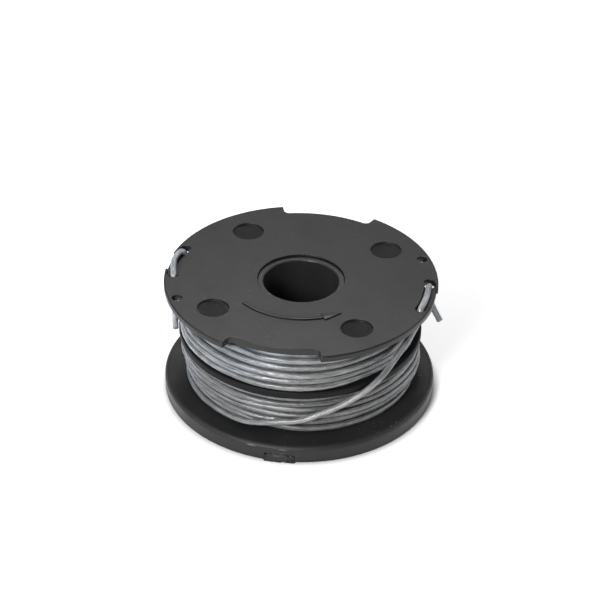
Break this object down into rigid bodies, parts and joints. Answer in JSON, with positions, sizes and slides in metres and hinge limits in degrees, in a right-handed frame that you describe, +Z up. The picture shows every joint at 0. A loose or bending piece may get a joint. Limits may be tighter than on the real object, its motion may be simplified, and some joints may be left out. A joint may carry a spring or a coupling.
{
  "type": "grass trimmer line spool",
  "caption": "Twin line spool for a grass trimmer: a black moulded body with two windings of grey nylon line, their ends threaded through eyelets in the upper flange.",
  "frame": {"origin": "centre of the base plane, where the lower rim rests, on the axis of the bore", "axes": "+Z up along the bore; +X through the middle of one line recess; +Y through the middle of one wide rim notch"},
  "size_m": [0.0673, 0.0665, 0.0313],
  "materials": {
    "flange_plastic": "fine matte moulded surface, lightly scuffed",
    "core_plastic": "plain moulded surface",
    "nylon_line": "extruded, slightly translucent, glossy"
  },
  "bodies": {
    "root": {"upper_flange": "flange_plastic", "hub_tube": "flange_plastic", "upper_drum": "core_plastic", "divider_flange": "core_plastic", "lower_drum": "core_plastic", "core_webs": "core_plastic", "lower_flange": "flange_plastic", "drive_ring": "core_plastic", "upper_line_core": "nylon_line", "upper_line_winding": "nylon_line", "upper_line_lead": "nylon_line", "lower_line_core": "nylon_line", "lower_line_winding": "nylon_line", "lower_line_lead": "nylon_line"}
  },
  "joints": []
}
